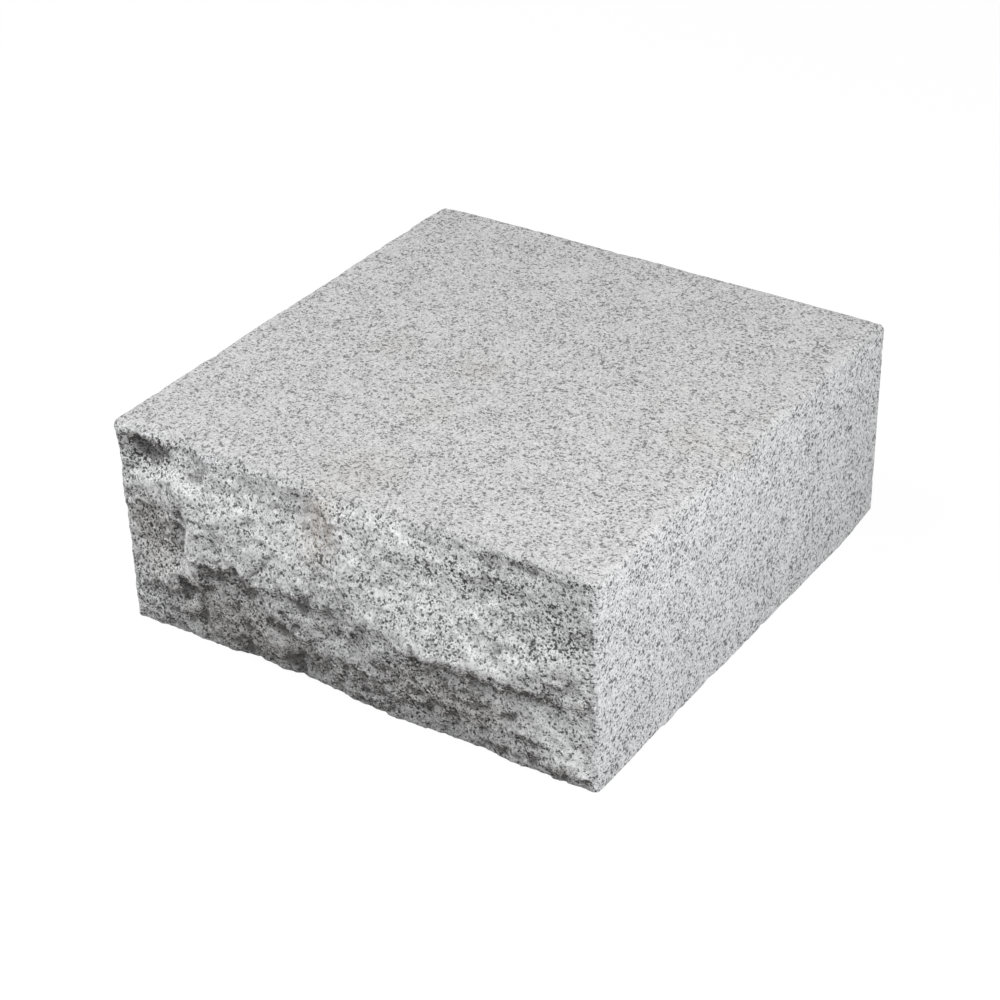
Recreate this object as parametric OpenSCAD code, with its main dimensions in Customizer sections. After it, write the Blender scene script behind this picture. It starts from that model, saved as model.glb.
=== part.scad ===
// Granite block step: sawn on five sides, its front pitched off to a rock face.
// Millimetres. The origin is the middle of the bed, +Z is up, the rock face looks along -Y
// and the length of the step runs along X.

/* [Block] */
// Length of the step along its front
step_length = 350; // [240:10:480]
// Depth from the line of the front arrises to the back
step_depth = 360; // [240:10:500]
// Height from the bed to the tread
step_height = 148; // [100:1:180]

/* [Worn arrises] */
// Radius of the long arrises round the tread and the bed
arris_r = 3.5; // [1.5:0.5:8]
// Radius of the two upright corners at the back
corner_r = 8; // [4:0.5:20]
// Width of the chipped bevel along the front arris of the tread
front_bevel = 4; // [1:0.5:8]
// Width of the chipped bevel down the two ends of the rock face
end_bevel = 2; // [1:0.5:5]
// Length along the right end of the bed corner that was knocked off at the back
knock_side = 55; // [20:1:90]
// Length of that corner along the back
knock_back = 30; // [20:1:90]
// Height of that corner
knock_rise = 6; // [2:0.5:15]

/* [Rock face] */
// How far the middle of the ridge stands in front of the arrises
boss = 16; // [6:1:28]
// Spacing of the large flakes that came off under the pitching chisel
flake_size = 44; // [30:1:80]
// Depth of the large flakes
flake_depth = 1.8; // [1:0.5:8]
// Spacing of the small chips between them
chip_size = 17; // [14:1:30]
// Depth of the small chips
chip_depth = 1; // [0.5:0.1:3]
// How far the breaks between the broad facets wander
wander = 9; // [0:1:14]
// Pattern of the flakes
flake_seed = 39; // [1:1:200]
// Spacing of the points that the rock face is drawn through
mesh_step = 4; // [4:0.5:10]

/* [Hidden] */
arc_steps = 64;
// A break that lies outside the face
far = 10000;

// The broad facets of the rock face. Each is a plane that ends in a break, beyond which it
// falls away: [place along the length, place up the height, both as shares of the face,
//  how proud it stands there in shares of boss, degrees turned to the right,
//  degrees tilted to the sky, direction of the break in degrees, distance of the break from
//  its middle, how steeply it falls away beyond the break]
FACETS = [
    // the slope from the tread arris down to the ridge
    [0.28, 0.70, 0.68, 1, 12, 0, far, 0],
    [0.55, 0.68, 0.66, 3, 14, 0, far, 0],
    [0.78, 0.64, 0.60, 4, 9, 0, far, 0],
    [0.94, 0.74, 0.22, 7, 3, 0, far, 0],
    // the lip below that slope at the right end
    [0.90, 0.50, 0.44, 9, -12, -90, 16, 0.25],
    // the left end: turned away, and broken off along an upright step
    [0.07, 0.55, 0.20, -9, -1, 5, 26, 1.0],
    [0.06, 0.20, 0.10, -8, -4, 0, 30, 0.9],
    // the undercut from the ridge back to the bed arris
    [0.22, 0.20, 0.48, -2, -14, 0, far, 0],
    [0.42, 0.20, 0.62, 2, -17, 0, far, 0],
    [0.62, 0.20, 0.60, -2, -20, 0, far, 0],
    [0.80, 0.20, 0.48, 1, -17, 0, far, 0],
    [0.95, 0.20, 0.10, 12, -4, 0, far, 0],
];

// Spalls: flakes that tore out deeper, each a root that drops away and a floor that runs out:
// [place of the root along the length, place up the height, way the floor runs in degrees,
//  greatest depth, length of the root, length of the floor, half its width]
SPALLS = [
    // under the tread arris, the deep one at the left end
    [0.11, 1.00, -90, 9, 16, 16, 38],
    [0.34, 1.00, -90, 3, 24, 20, 50],
    // the wide hollow at the right end
    [0.98, 0.76, 180, 5, 60, 80, 34],
    // along the ridge
    [0.17, 0.36, -60, 5, 7, 22, 18],
    [0.26, 0.47, -90, 3, 6, 22, 26],
    [0.49, 0.45, -100, 3, 6, 20, 24],
];

// Spacing of the kinks in the breaks
wander_size = 26;
// Radius to which each broad facet is hollowed
hollow_r = 3000;
// Share of the flakes' depth and of the wander that is left where the face meets an arris
arris_share = 0.25;
// Distance from the arris at which they reach their full size
arris_fade = 16;
// Room that the waste keeps outside the block
waste_margin = 6;
// Thickness of the waste in front of the boss
waste_front = 2 * boss + 20;

function smooth(t) = let (u = min(max(t, 0), 1)) u * u * (3 - 2 * u);

// A lattice of flakes: each has a jittered middle, a height and two tilts, all from -1 to 1
function flake_lattice(size, seed) = [
    for (i = [0 : ceil((step_length + 2 * waste_margin) / size) + 3])
        let (
            rows = ceil((step_height + 2 * waste_margin) / size) + 3,
            values = rands(-1, 1, 5 * (rows + 1), seed * 1000 + i)
        )
        [for (j = [0 : rows]) [for (k = [0 : 4]) values[5 * j + k]]]
];

// Height of one flake at an offset from its middle, both in flake sizes
function flake_height(flake, dx, dz) =
    0.45 * flake[2] + 0.8 * (flake[3] * dx + flake[4] * dz) - 1.3 * (dx * dx + dz * dz);

// The deepest flake wins, so that flakes meet along sharp ridges
function flakes(lattice, size, x, z) =
    let (
        u = (x + waste_margin) / size + 1,
        v = (z + waste_margin) / size + 1,
        col = floor(u),
        row = floor(v)
    )
    max([
        for (i = [col - 1 : col + 1])
            for (j = [row - 1 : row + 1])
                let (flake = lattice[i][j])
                flake_height(flake, u - i - 0.5 - 0.4 * flake[0], v - j - 0.5 - 0.4 * flake[1])
    ]);

large_flakes = flake_lattice(flake_size, flake_seed);
small_chips = flake_lattice(chip_size, flake_seed + 1);
sideways = flake_lattice(wander_size, flake_seed + 2);
upwards = flake_lattice(wander_size, flake_seed + 3);

// Setback of one broad facet, from the line of the arrises, at a point of the face
function facet_setback(f, x, z) =
    let (
        dx = x - f[0] * step_length,
        dz = z - f[1] * step_height,
        past_break = max(0, dx * cos(f[5]) + dz * sin(f[5]) - f[6])
    )
    dx * tan(f[3]) + dz * tan(f[4]) - boss * f[2] - f[7] * past_break
        - (dx * dx + dz * dz) / (2 * hollow_r);

// Depth that one spall adds at a point
function spall_depth(s, x, z) =
    let (
        dx = x - s[0] * step_length,
        dz = z - s[1] * step_height,
        out = dx * cos(s[2]) + dz * sin(s[2]),
        side = (dz * cos(s[2]) - dx * sin(s[2])) / s[6],
        along = (out - s[4]) / (out < s[4] ? s[4] : s[5])
    )
    s[3] * max(0, 1 - along * along - pow(side, 4));

// Distance from a point of the face to its nearest arris
function arris_distance(x, z) = max(0, min(x, step_length - x, z, step_height - z));

// Setback of the rock face behind the line of the arrises
function setback(x, z) =
    let (
        share = arris_share + (1 - arris_share) * smooth(arris_distance(x, z) / arris_fade),
        flaking = flake_depth * flakes(large_flakes, flake_size, x, z)
            + chip_depth * flakes(small_chips, chip_size, x, z),
        wx = x + share * wander * flakes(sideways, wander_size, x, z),
        wz = z + share * wander * flakes(upwards, wander_size, x, z),
        spalling = max([for (s = SPALLS) spall_depth(s, wx, wz)])
    )
    max(
        max([for (f = FACETS) facet_setback(f, wx, wz)]) + share * flaking + spalling,
        z - step_height + front_bevel * (0.5 + flaking / (flake_depth + chip_depth)),
        end_bevel - x,
        x - step_length + end_bevel
    );

// Five sawn sides with worn arrises, and stone to spare in front
module sawn_block() {
    rough_depth = step_depth + waste_front;
    intersection() {
        linear_extrude(step_height) plan_outline(rough_depth);
        rotate([90, 0, 0])
            translate([0, 0, -step_depth])
                linear_extrude(rough_depth) rounded_outline(step_length, step_height);
        translate([-step_length / 2, 0, 0])
            rotate([90, 0, 90])
                linear_extrude(step_length) side_outline(rough_depth);
    }
}

// The block from above, with its two back corners rounded
module plan_outline(rough_depth) {
    square_d = rough_depth - corner_r;
    translate([-step_length / 2, -waste_front]) square([step_length, square_d]);
    translate([corner_r - step_length / 2, 0]) square([step_length - 2 * corner_r, step_depth]);
    for (side = [-1, 1])
        translate([side * (step_length / 2 - corner_r), step_depth - corner_r])
            circle(corner_r, $fn = arc_steps);
}

// A rectangle standing on the origin, with its four corners rounded to the arris
module rounded_outline(width, height) {
    translate([-width / 2, arris_r]) square([width, height - 2 * arris_r]);
    translate([arris_r - width / 2, 0]) square([width - 2 * arris_r, height]);
    for (side = [-1, 1])
        for (level = [arris_r, height - arris_r])
            translate([side * (width / 2 - arris_r), level]) circle(arris_r, $fn = arc_steps);
}

// The block from its right end, with its two back arrises rounded
module side_outline(rough_depth) {
    translate([-waste_front, 0]) square([rough_depth - arris_r, step_height]);
    translate([0, arris_r]) square([step_depth, step_height - 2 * arris_r]);
    for (level = [arris_r, step_height - arris_r])
        translate([step_depth - arris_r, level]) circle(arris_r, $fn = arc_steps);
}

// The stone that the pitching chisel takes off: everything in front of the rock face
module front_waste() {
    span = step_length + 2 * waste_margin;
    rise = step_height + 2 * waste_margin;
    cols = ceil(span / mesh_step);
    rows = ceil(rise / mesh_step);
    face = [
        for (i = [0 : cols])
            for (j = [0 : rows])
                let (x = i * span / cols - waste_margin, z = j * rise / rows - waste_margin)
                [x - step_length / 2, setback(x, z), z]
    ];
    front = [
        for (x = [-span / 2, span / 2])
            for (z = [-waste_margin, rise - waste_margin])
                [x, -2 * waste_front, z]
    ];
    low_left = len(face);
    high_left = low_left + 1;
    low_right = low_left + 2;
    high_right = low_left + 3;
    function at(i, j) = i * (rows + 1) + j;
    // each square is split along its flatter diagonal
    squares = [
        for (i = [0 : cols - 1])
            for (j = [0 : rows - 1])
                let (
                    a = at(i, j),
                    b = at(i + 1, j),
                    c = at(i + 1, j + 1),
                    d = at(i, j + 1),
                    flat_ac = abs(face[a].y - face[c].y) < abs(face[b].y - face[d].y)
                )
                each flat_ac ? [[a, b, c], [a, c, d]] : [[a, b, d], [b, c, d]]
    ];
    ends = [
        [low_left, for (j = [0 : rows]) at(0, j), high_left],
        [high_right, for (j = [rows : -1 : 0]) at(cols, j), low_right],
        [low_right, for (i = [cols : -1 : 0]) at(i, 0), low_left],
        [high_left, for (i = [0 : cols]) at(i, rows), high_right],
        [low_left, high_left, high_right, low_right],
    ];
    polyhedron(points = concat(face, front), faces = concat(squares, ends));
}

// What is missing from the bed corner at the right end of the back: all that lies below
// a plane that rises towards the corner
module knocked_corner() {
    run = knock_side * knock_back / norm([knock_side, knock_back]);
    size = 2 * (knock_side + knock_back);
    translate([step_length / 2, step_depth, 0])
        rotate([0, 0, atan2(knock_back, knock_side)])
            translate([-run, 0, 0])
                rotate([0, -atan(knock_rise / run), 0])
                    translate([0, -size / 2, -size]) cube(size);
}

// One block of stone: the sawn block less what was pitched off its front
module granite_step() {
    color("silver")
        translate([0, -step_depth / 2, 0])
            difference() {
                sawn_block();
                front_waste();
                knocked_corner();
            }
}

granite_step();
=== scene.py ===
"""Granite block step: the worn, rock-faced block as one mesh, its granite and a plain studio."""

import logging
import math
from collections.abc import Iterable
from dataclasses import dataclass, field
from enum import Enum

import bpy
import numpy as np
from mathutils import Matrix, Vector
from mathutils.bvhtree import BVHTree


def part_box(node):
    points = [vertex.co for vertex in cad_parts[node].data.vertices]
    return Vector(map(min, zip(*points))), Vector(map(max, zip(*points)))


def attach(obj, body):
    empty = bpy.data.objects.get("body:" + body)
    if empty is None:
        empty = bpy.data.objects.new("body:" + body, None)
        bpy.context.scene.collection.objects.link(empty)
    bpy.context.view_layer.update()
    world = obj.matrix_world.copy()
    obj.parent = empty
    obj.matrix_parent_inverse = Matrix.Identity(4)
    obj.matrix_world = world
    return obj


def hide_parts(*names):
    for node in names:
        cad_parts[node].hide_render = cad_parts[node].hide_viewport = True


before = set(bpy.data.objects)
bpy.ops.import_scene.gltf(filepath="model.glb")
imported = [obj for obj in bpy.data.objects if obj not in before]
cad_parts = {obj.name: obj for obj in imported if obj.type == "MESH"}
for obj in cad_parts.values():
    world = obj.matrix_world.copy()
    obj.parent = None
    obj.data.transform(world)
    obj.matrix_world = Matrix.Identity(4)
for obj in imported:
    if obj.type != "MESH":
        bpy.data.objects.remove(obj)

NODE = "granite_step"
MM = 0.001

Grid = tuple[np.ndarray, np.ndarray]
Rows = dict["Side", np.ndarray]
Colour = tuple[float, float, float]

log = logging.getLogger(NODE)


def placed(name: str, data: bpy.types.ID) -> bpy.types.Object:
    """Puts a mesh, a lamp or a camera into the scene.

    Args:
        name: Name of its object.
        data: The mesh, lamp or camera.

    Returns:
        The object.
    """
    made = bpy.data.objects.new(name, data)
    bpy.context.scene.collection.objects.link(made)
    return made


# ---------------------------------------------------------------------------------------
# Patterns that the block's shape is drawn from. Lengths are in metres.
# ---------------------------------------------------------------------------------------


def ease(t: np.ndarray) -> np.ndarray:
    """Runs smoothly from 0 to 1 as t does, and stays there outside that range."""
    t = np.clip(t, 0, 1)
    return t * t * (3 - 2 * t)


@dataclass(frozen=True)
class Noise:
    """Smooth seeded noise.

    Args:
        size: Distance over which the noise changes.
        seed: Seed of its random table.
        height: Its greatest value, above 0 and below.
        cells: Side of the table, after which the pattern repeats.
    """

    size: float
    seed: int
    height: float = 1.0
    cells: int = 48

    def at(self, points: np.ndarray) -> np.ndarray:
        """Reads the noise.

        Args:
            points: Places, one a row.

        Returns:
            One value for each place.
        """
        table = np.random.default_rng(self.seed).uniform(-1, 1, (self.cells,) * 3)
        place = points / self.size
        low = np.floor(place).astype(int)
        part = ease(place - low)
        value = np.zeros(len(points))
        for corner in np.ndindex(2, 2, 2):
            weight = np.prod(np.where(corner, part, 1 - part), axis=1)
            x, y, z = ((low + corner) % self.cells).T
            value += weight * table[x, y, z]
        return self.height * value


@dataclass(frozen=True)
class Chips:
    """Chips along an arris, wherever seeded noise passes a threshold.

    Args:
        size: Distance between neighbouring chips.
        seed: Seed of the noise.
        threshold: Value of the noise, from -1 to 1, above which there is a chip.
        depth: How deep a chip is for each 1 that the noise passes the threshold.
    """

    size: float
    seed: int
    threshold: float
    depth: float

    def at(self, points: np.ndarray) -> np.ndarray:
        """Depth of the chips at places, one a row."""
        return self.depth * np.maximum(0, Noise(self.size, self.seed).at(points) - self.threshold)


@dataclass(frozen=True)
class Flakes:
    """Flakes that broke off a stone face: shallow hollows that meet along sharp ridges.

    Args:
        size: Distance between the middles of neighbouring flakes.
        depth: How deep they reach.
        seed: Seed of their places and tilts.
        tilt: How steeply a flake may lean, where 1 is about 40 degrees at equal size and depth.
    """

    size: float
    depth: float
    seed: int
    tilt: float = 0.8

    def at(self, along: np.ndarray, up: np.ndarray) -> np.ndarray:
        """Depth of the flakes at places on the face, counted inwards.

        Args:
            along: Places along the face, none below -size.
            up: Places up the face, none below -size.

        Returns:
            One depth for each place.
        """
        u, v = along / self.size + 2, up / self.size + 2
        column, row = np.floor(u).astype(int), np.floor(v).astype(int)
        shape = (column.max() + 3, row.max() + 3)
        spread, bulge, jitter = 0.45, 1.3, 0.4
        table = np.random.default_rng(self.seed).uniform(-1, 1, (*shape, 5))
        deepest = np.full(len(u), -np.inf)
        for i in (-1, 0, 1):
            for j in (-1, 0, 1):
                flake = table[column + i, row + j]
                du = u - (column + i) - 0.5 - jitter * flake[:, 0]
                dv = v - (row + j) - 0.5 - jitter * flake[:, 1]
                lean = self.tilt * (flake[:, 3] * du + flake[:, 4] * dv)
                height = spread * flake[:, 2] + lean - bulge * (du * du + dv * dv)
                deepest = np.maximum(deepest, height)
        return self.depth * deepest


@dataclass(frozen=True)
class Mark:
    """A groove, a crack or, with a depth below 0, a swelling on the rock face, in millimetres.

    Args:
        along: Place of its middle, from the left end.
        up: Place of its middle, from the bed.
        turn: Degrees that its length is turned up from the horizontal.
        length: Its length.
        above: Reach of its wall on the side that is above when turn is 0.
        below: Reach of its other wall.
        depth: How deep it is.
    """

    along: float
    up: float
    turn: float
    length: float
    above: float
    below: float
    depth: float

    def at(self, along: np.ndarray, up: np.ndarray) -> np.ndarray:
        """Shape of the mark: square at its ends and sharp along its bottom.

        Args:
            along: Places along the face, from the left end.
            up: Places up the face, from the bed.

        Returns:
            The depth at each place, in metres and counted inwards.
        """
        square, sharp = 4, 1.5
        c, s = math.cos(math.radians(self.turn)), math.sin(math.radians(self.turn))
        du, dv = along / MM - self.along, up / MM - self.up
        run, side = du * c + dv * s, dv * c - du * s
        reach = np.where(side > 0, self.above, self.below)
        shape = np.exp(-((2 * run / self.length) ** square) - (np.abs(side) / reach) ** sharp)
        return self.depth * MM * shape


@dataclass(frozen=True)
class StainAndShade:
    """A soft-edged patch, in millimetres, which the block uses for stains, for painted shadows
    and for patches of dark crystals that paint shade.

    Args:
        along: Place of its middle, from the left end.
        back: How far its middle lies behind the front arris.
        up: Height of its middle.
        reach: Half of its width and half of its height.
        strength: How strong it is in the middle, where 1 is usual.
    """

    along: float
    back: float
    up: float
    reach: tuple[float, float]
    strength: float = 1.0

    def at(self, points: np.ndarray) -> np.ndarray:
        """Strength of the stain.

        Args:
            points: Places in metres from the left front corner of the bed, one a row.

        Returns:
            One strength for each place.
        """
        steepness = 1.5
        wide, high = self.reach
        gaps = (points / MM - (self.along, self.back, self.up)) / (wide, wide, high)
        return self.strength * np.exp(-((gaps**2).sum(axis=1) ** steepness))


def stations(length: float, fine: float, coarse: float, growth: float = 1.3) -> np.ndarray:
    """Places from 0 to length, close together at both ends and wider apart between.

    Args:
        length: Where the last place lies.
        fine: First and last spacing.
        coarse: Widest spacing.
        growth: How much wider each spacing near an end is than the one before it.

    Returns:
        The places, in order.
    """
    limit = length / 3
    ends = [0.0]
    step = fine
    while step < coarse and ends[-1] + step < limit:
        ends.append(ends[-1] + step)
        step *= growth
    middle = length - 2 * ends[-1]
    inner = np.linspace(0, middle, max(1, round(middle / coarse)) + 1) + ends[-1]
    return np.concatenate([ends[:-1], inner, [length - e for e in reversed(ends[:-1])]])


# ---------------------------------------------------------------------------------------
# The block
# ---------------------------------------------------------------------------------------


class Side(Enum):
    """A face of the block: its two axes, and the place of its corner on the unwrapped sheet."""

    TREAD = (0, 1, 0.0, 0.0)
    BED = (0, 1, 0.365, 0.0)
    FRONT = (0, 2, 0.0, 0.37)
    BACK = (0, 2, 0.365, 0.37)
    LEFT = (1, 2, 0.0, 0.53)
    RIGHT = (1, 2, 0.37, 0.53)


@dataclass
class RockFace:
    """The pitched front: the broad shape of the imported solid, with flakes and marks on it.

    Args:
        along: Stations of its grid along the length, from the left end.
        up: Stations of its grid up the height, from the bed.
        arris_y: Where the plane of the front arrises lies.
    """

    along: np.ndarray
    up: np.ndarray
    arris_y: float
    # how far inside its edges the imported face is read, and how far its facets are averaged
    inset: float = 4 * MM
    soften: float = 2 * MM
    # distance from an edge at which the relief is full, and the share of it that the edge keeps
    fade: float = 11 * MM
    rim_share: float = 0.35
    flakes: tuple[Flakes, ...] = (
        Flakes(19 * MM, 0.95 * MM, 11),
        Flakes(9 * MM, 0.75 * MM, 12),
        Flakes(4.5 * MM, 0.55 * MM, 13),
    )
    marks: tuple[Mark, ...] = (
        Mark(15, 141, 0, 44, 5, 5, -2),
        Mark(16, 119, -4, 32, 14, 5, 3.4),
        Mark(41, 92, 75, 22, 6, 5, -1.6),
        Mark(31, 129, 10, 30, 8, 4, 2.5),
        Mark(0, 132, 90, 34, 5, 5, -3.5),
        Mark(0, 60, 90, 150, 6, 6, -2),
        Mark(0, 10, 90, 44, 9, 9, -3),
        Mark(22, 105, 0, 60, 6, 45, -3),
        Mark(56, 67, 90, 58, 50, 3, 2.5),
        Mark(66, 136, 60, 30, 9, 6, -1.2),
        Mark(38, 48, 45, 30, 9, 8, -3.5),
        Mark(51, 42, 50, 26, 3, 7, 5),
        Mark(61, 27, 80, 22, 3, 4, 4),
        Mark(85, 72, -5, 50, 4, 32, 4.5),
        Mark(150, 70, 0, 110, 5, 40, 4.5),
        Mark(96, 20, 80, 36, 4, 6, 2.5),
        Mark(128, 42, 25, 18, 6, 5, 3.5),
        Mark(134, 12, 75, 28, 4, 5, 3),
        Mark(114, 82, 45, 28, 1.5, 5, 2),
        Mark(149, 70, 10, 14, 4, 6, 2.5),
        Mark(157, 80, 0, 16, 4, 7, 2),
        Mark(176, 78, 20, 15, 4, 7, 2),
        Mark(181, 99, 80, 34, 7, 7, -1.5),
        Mark(222, 18, 20, 40, 3, 5, 2),
        Mark(248, 10, 50, 16, 4, 5, 2),
        Mark(258, 68, 0, 62, 10, 6, -3.5),
        Mark(262, 59, -4, 95, 6, 32, 3.5),
        Mark(293, 37, 10, 12, 4, 5, 2.5),
        Mark(303, 66, -10, 30, 8, 6, -2.5),
        Mark(312, 57, -5, 34, 4, 9, 2.5),
        Mark(283, 76, 60, 24, 5, 8, 2.5),
        Mark(325, 12, 0, 50, 10, 8, -2.5),
        Mark(245, 127, 0, 110, 18, 25, -3.5),
        Mark(288, 121, 10, 34, 12, 10, 2.5),
        Mark(325, 98, 15, 60, 18, 8, 2.5),
    )
    wander: tuple[Noise, Noise] = (Noise(7 * MM, 21, 3 * MM), Noise(7 * MM, 22, 3 * MM))
    crumbs: Noise = Noise(1.7 * MM, 23, 0.3 * MM)
    # how much coarser the flakes are where the face overhangs
    rough_below: float = 1.9
    hollow_reach: float = 5 * MM
    overhang_reach: float = 1.5 * MM
    # slope at which an overhang begins, and the range of slopes over which it becomes full
    overhang_begin: float = -0.05
    overhang_range: float = 0.6

    @property
    def length(self) -> float:
        """Length of the face."""
        return self.along[-1]

    @property
    def height(self) -> float:
        """Height of the face."""
        return self.up[-1]

    def relief(self) -> tuple[np.ndarray, ...]:
        """Shapes the rock face.

        Returns:
            How far each grid point lies behind the plane of the arrises, how far it lies below
            the stone round it, and how much it overhangs, from 0 to 1, each as an array of
            along by up.
        """
        x, z = (g.ravel() for g in np.meshgrid(self.along, self.up, indexing="ij"))
        shape = (len(self.along), len(self.up))
        points = np.stack([x, np.zeros_like(x), z], axis=1)
        wx, wz = (v + w.at(points) for v, w in zip((x, z), self.wander))
        broad = self.soft(self.packed(x, z).reshape(shape), self.soften).ravel()
        broad = broad + sum(m.at(wx, wz) for m in self.marks)
        rough = 1 + self.rough_below * self.overhang(broad.reshape(shape)).ravel()
        fine = sum(f.at(wx, wz) for f in self.flakes) + self.crumbs.at(points)
        border = np.minimum.reduce([x, self.length - x, self.height - z])
        share = self.rim_share + (1 - self.rim_share) * ease(border / self.fade)
        middle = fine.mean()
        setback = (broad + middle + rough * (fine - middle)) * share
        setback = setback.reshape(shape)
        below = setback - self.soft(setback, self.hollow_reach)
        return setback, below, self.overhang(setback)

    def overhang(self, setback: np.ndarray) -> np.ndarray:
        """How much points that lie this far behind the arrises overhang, from 0 to 1."""
        fall = -np.gradient(self.soft(setback, self.overhang_reach), self.up, axis=1)
        return ease((fall - self.overhang_begin) / self.overhang_range)

    def packed(self, x: np.ndarray, z: np.ndarray) -> np.ndarray:
        """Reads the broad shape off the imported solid.

        Args:
            x: Places along the length, from the left end.
            z: Places up the height.

        Returns:
            How far the solid's face lies behind the plane of the arrises at each place.
        """
        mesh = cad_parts[NODE].data
        tree = BVHTree.FromPolygons(
            [v.co for v in mesh.vertices], [p.vertices for p in mesh.polygons]
        )
        top_inset = 1.5 * self.inset
        x = np.clip(x, self.inset, self.length - self.inset) - self.length / 2
        z = np.clip(z, self.inset, self.height - top_inset)
        start_y = 2 * self.arris_y
        forward = Vector((0, 1, 0))
        hits = (tree.ray_cast(Vector((a, start_y, b)), forward)[0] for a, b in zip(x, z))
        return np.array([h.y if h else self.arris_y for h in hits]) - self.arris_y

    def soft(self, values: np.ndarray, reach: float) -> np.ndarray:
        """Averages values on the grid, by one weight matrix for each direction.

        Args:
            values: The values, as an array of along by up.
            reach: Distance to average over.

        Returns:
            The averages, as an array of along by up.
        """

        def weights(places: np.ndarray) -> np.ndarray:
            """Weights of the average round each station.

            Args:
                places: The stations.

            Returns:
                One row of weights for each station, with a column for every station.
            """
            gaps = (places[:, None] - places[None, :]) / reach
            share = np.exp(-gaps * gaps / 2) * np.gradient(places)[None, :]
            return share / share.sum(axis=1, keepdims=True)

        return weights(self.along) @ values @ weights(self.up).T


@dataclass
class Block:
    """The step itself, as one closed mesh."""

    low: Vector
    high: Vector
    arris_y: float
    # radii of the long arrises of the tread and the bed, and how they change along them
    left_arris_r: float = 1.2 * MM
    tread_arris_r: float = 3.5 * MM
    front_arris_r: float = 7 * MM
    bed_arris_r: float = 1.6 * MM
    arris_waves: Noise = Noise(24 * MM, 31, 0.9 * MM)
    front_arris_waves: Noise = Noise(13 * MM, 32, 0.45)
    # the tread's corners are rounded more than its arrises
    worn_reach: float = 18 * MM
    worn_extra: float = 2.5 * MM
    # the left front corner is fuller a little below the tread
    swelling_reach: float = 13 * MM
    swelling_height: float = 1.4 * MM
    swelling_drop: float = 7 * MM
    # radii of the upright corners, left and right
    front_corners: tuple[float, float] = (3 * MM, 3 * MM)
    back_corners: tuple[float, float] = (8 * MM, 2.5 * MM)
    # spacing of the mesh, and the depth behind the rock face that keeps the finest
    face_step: float = 1.1 * MM
    sawn_step: float = 3.6 * MM
    edge_step: float = 0.8 * MM
    rim: float = 11 * MM
    # depth over which the sides follow the front arrises
    front_fade: float = 14 * MM
    saw_waves: tuple[Noise, ...] = (Noise(45 * MM, 41, 0.3 * MM), Noise(9 * MM, 42, 0.06 * MM))
    chips: tuple[Chips, ...] = (
        Chips(7 * MM, 43, 0.35, 1.6 * MM),
        Chips(2.6 * MM, 44, 0.1, 0.5 * MM),
    )
    chip_reach: float = 6 * MM
    bed_line: tuple[Noise, ...] = (Noise(23 * MM, 51, 1.2 * MM), Noise(6 * MM, 52, 0.5 * MM))
    tread_line: tuple[Noise, ...] = (Noise(17 * MM, 53, 0.7 * MM), Noise(5 * MM, 54, 0.5 * MM))
    # the bed corner that was knocked off at the right end of the back
    knock_side: float = 55 * MM
    knock_back: float = 30 * MM
    knock_rise: float = 6 * MM
    knock_waves: Noise = Noise(5 * MM, 61, 0.5 * MM)
    # distances from an edge and from the tread over which the looks of the sides change
    split_edge_fade: float = 5 * MM
    split_top_fade: float = 9 * MM
    tread_fade: float = 4 * MM
    # brown stains on the tread and the rock face; the patches over the lower band and the left
    # recess of the rock face are brown painted shade
    stains_and_shade: tuple[StainAndShade, ...] = (
        StainAndShade(160, 0, 125, (14, 21), 1.1),
        StainAndShade(92, 0, 30, (46, 28), 0.5),
        StainAndShade(255, 0, 38, (42, 16), 0.4),
        StainAndShade(25, 0, 75, (22, 30), 0.5),
        StainAndShade(168, 31, 148, (22, 22), 0.4),
        StainAndShade(158, 169, 148, (14, 14), 0.35),
        StainAndShade(93, 168, 148, (14, 14), 0.3),
        StainAndShade(160, 110, 148, (16, 16), 0.2),
        StainAndShade(316, 163, 148, (12, 12), 0.35),
        StainAndShade(350, 168, 146, (12, 12), 0.45),
    )
    # painted shade: patches of crowded dark crystals in the recesses and under the overhangs of
    # the rock face
    crowded_shade: tuple[StainAndShade, ...] = (
        StainAndShade(25, 0, 75, (22, 30), 0.7),
        StainAndShade(16, 0, 22, (22, 22), 0.7),
        StainAndShade(19, 0, 126, (24, 9), 0.8),
        StainAndShade(92, 0, 34, (46, 28), 0.4),
        StainAndShade(270, 0, 122, (40, 7), 0.4),
        StainAndShade(325, 0, 105, (16, 20), 0.3),
    )
    # painted shadows: dark patches laid over crevices and hollows of the rock face, where shade
    # falls
    painted_shadows: tuple[StainAndShade, ...] = (
        StainAndShade(14, 0, 129, (18, 7), 0.2),
        StainAndShade(9, 0, 106, (4, 6), 0.8),
        StainAndShade(44, 0, 96, (8, 9), 0.3),
        StainAndShade(49, 0, 41, (5, 9), 1.0),
        StainAndShade(62, 0, 25, (5, 10), 0.9),
        StainAndShade(79, 0, 70, (9, 7), 0.8),
        StainAndShade(90, 0, 16, (5, 12), 0.9),
        StainAndShade(104, 0, 58, (3, 4), 1.0),
        StainAndShade(124, 0, 46, (9, 7), 0.8),
        StainAndShade(126, 0, 12, (6, 10), 0.8),
        StainAndShade(148, 0, 64, (5, 3), 1.0),
        StainAndShade(156, 0, 76, (6, 3), 1.0),
        StainAndShade(174, 0, 76, (4, 4), 1.0),
        StainAndShade(230, 0, 33, (18, 9), 0.5),
        StainAndShade(268, 0, 43, (15, 9), 0.8),
        StainAndShade(294, 0, 40, (6, 5), 0.9),
        StainAndShade(316, 0, 62, (16, 3), 0.8),
        StainAndShade(284, 0, 132, (14, 7), 0.5),
        StainAndShade(333, 0, 71, (16, 6), 0.5),
    )
    # depth of hollow, in millimetres, that a painted shadow patch of strength 1 counts as, so
    # that the dirt coat paints it dark
    painted_shadow: float = 1.6
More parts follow.
